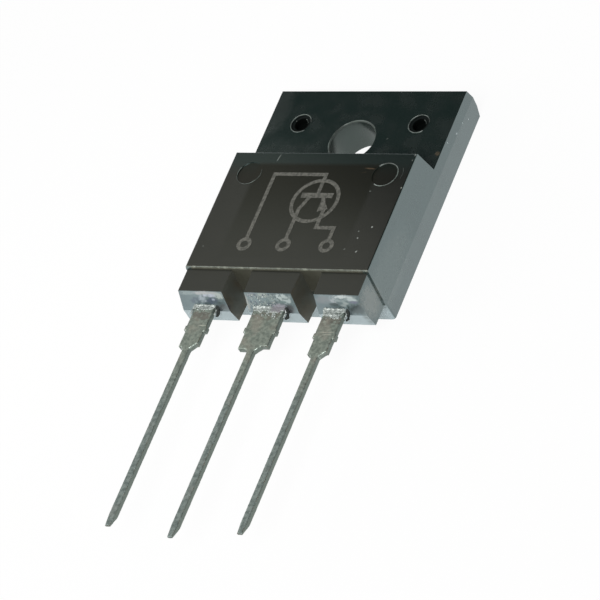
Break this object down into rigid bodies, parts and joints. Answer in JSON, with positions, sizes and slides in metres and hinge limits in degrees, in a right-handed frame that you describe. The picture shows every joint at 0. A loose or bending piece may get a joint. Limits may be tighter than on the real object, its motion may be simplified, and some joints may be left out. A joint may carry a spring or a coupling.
{
  "type": "power transistor",
  "caption": "Fully moulded power transistor: black epoxy case with an isolated mounting tab, a screw hole, lead stand-offs and flat solder-dipped leads.",
  "frame": {"origin": "on the mounting hole's axis, in the flat back face that bolts to a heat sink", "axes": "+Z out of the marked front face along the hole, +Y from the leads towards the end of the mounting tab, +X to the right seen from the front"},
  "size_m": [0.0158, 0.0404, 0.005],
  "materials": {
    "epoxy": "compression-moulded black epoxy, satin, with fine scuffs",
    "dipped_copper": "stamped copper, hot-dipped in dull grey solder where it leaves the case",
    "solder": "reflowed die-attach solder",
    "silicon": "polished silicon with an aluminium top",
    "bond_wire": "drawn aluminium wire"
  },
  "bodies": {
    "root": {"moulded_case": "epoxy", "collector_frame": "dipped_copper", "base_lead": "dipped_copper", "emitter_lead": "dipped_copper", "die_solder": "solder", "transistor_die": "silicon", "base_bond_wire": "bond_wire", "emitter_bond_wire_1": "bond_wire", "emitter_bond_wire_2": "bond_wire"}
  },
  "joints": []
}
